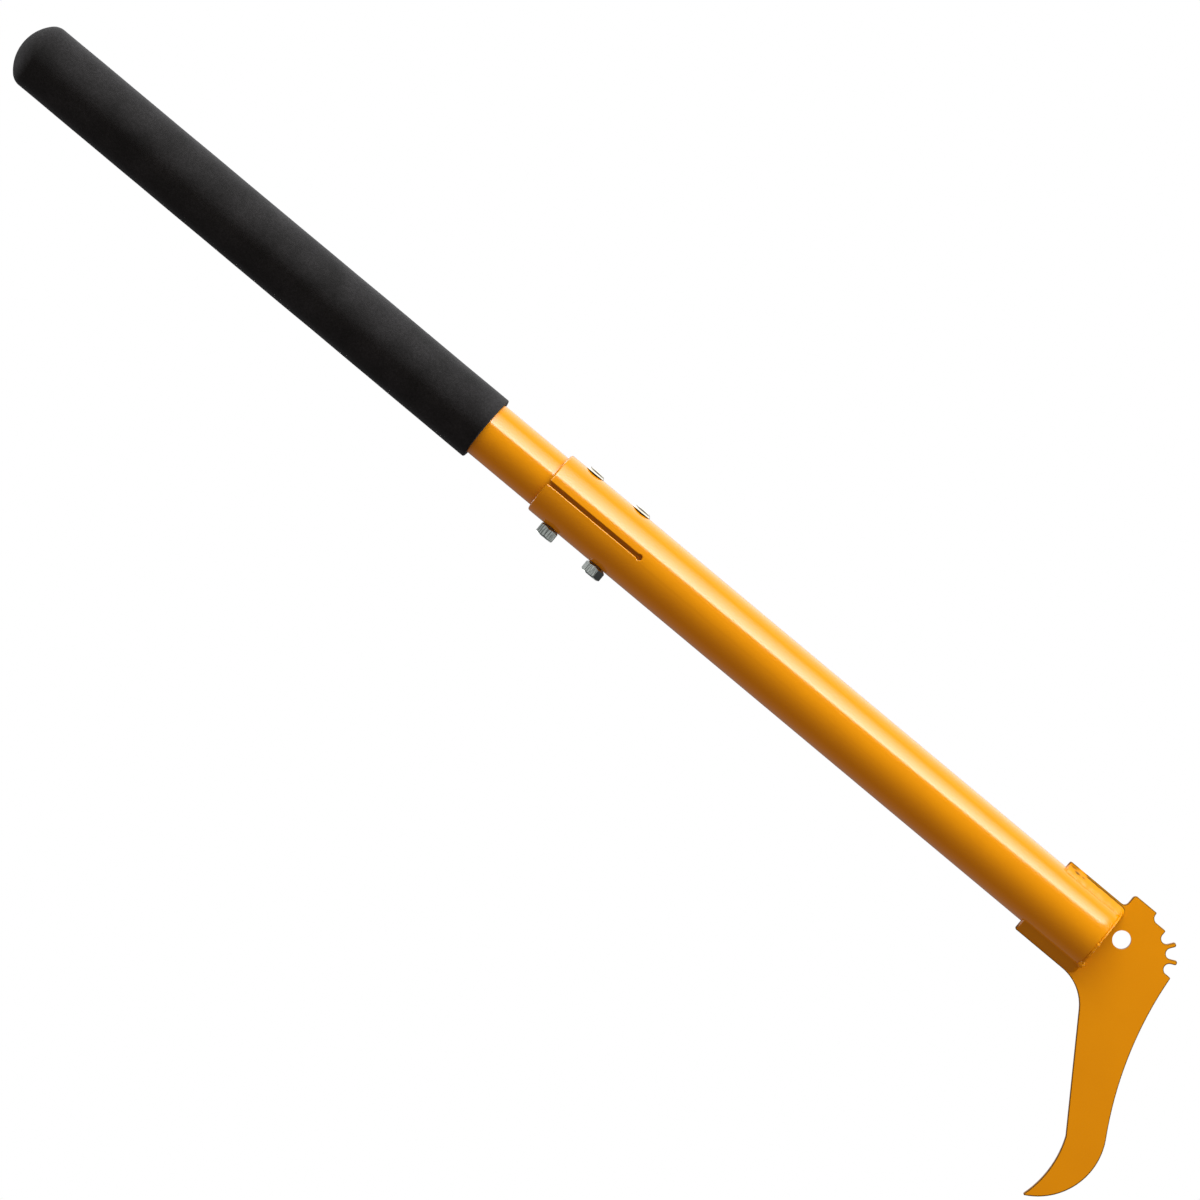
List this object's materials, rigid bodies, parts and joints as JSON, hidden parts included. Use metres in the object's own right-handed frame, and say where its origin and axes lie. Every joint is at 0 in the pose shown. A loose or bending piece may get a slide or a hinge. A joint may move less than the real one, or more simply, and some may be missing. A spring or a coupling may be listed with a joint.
{
  "type": "hookaroon",
  "caption": "Log-handling hook: a curved flat steel point welded into a telescoping tube handle with a slit bolted clamp and a closed foam grip.",
  "frame": {"origin": "centre of the hanging hole in the hook plate, half way through the plate", "axes": "+X along the handle from the grip towards the hook, +Y away from the hook's point, +Z square to the plate"},
  "size_m": [0.7721, 0.1504, 0.036],
  "materials": {
    "powder_coat": "gloss",
    "foam": "matte",
    "zinc": "satin"
  },
  "bodies": {
    "head": {"lower_tube": "powder_coat", "hook_plate": "powder_coat", "weld_spine_top": "powder_coat", "weld_spine_bottom": "powder_coat", "weld_throat_top": "powder_coat", "weld_throat_bottom": "powder_coat"},
    "handle": {"upper_tube": "powder_coat", "foam_grip": "foam"},
    "bolt_rear": {"clamp_bolt_rear": "zinc"},
    "bolt_front": {"clamp_bolt_front": "zinc"},
    "nut_rear": {"clamp_nut_rear": "zinc"},
    "nut_front": {"clamp_nut_front": "zinc"}
  },
  "joints": [
    {"name": "handle_slide", "type": "slide", "parent": "head", "child": "handle", "axis": [-1, 0, 0], "range_m": [0, 0.08]},
    {"name": "bolt_rear_turn", "type": "hinge", "parent": "head", "child": "bolt_rear", "pos_m": [-0.3502, -0.0074, 0], "axis": [0, 1, 0], "continuous": true},
    {"name": "bolt_front_turn", "type": "hinge", "parent": "head", "child": "bolt_front", "pos_m": [-0.3202, -0.0074, 0], "axis": [0, 1, 0], "continuous": true},
    {"name": "nut_rear_turn", "type": "hinge", "parent": "bolt_rear", "child": "nut_rear", "pos_m": [-0.3502, -0.0074, 0], "axis": [0, 1, 0], "continuous": true},
    {"name": "nut_front_turn", "type": "hinge", "parent": "bolt_front", "child": "nut_front", "pos_m": [-0.3202, -0.0074, 0], "axis": [0, 1, 0], "continuous": true}
  ]
}
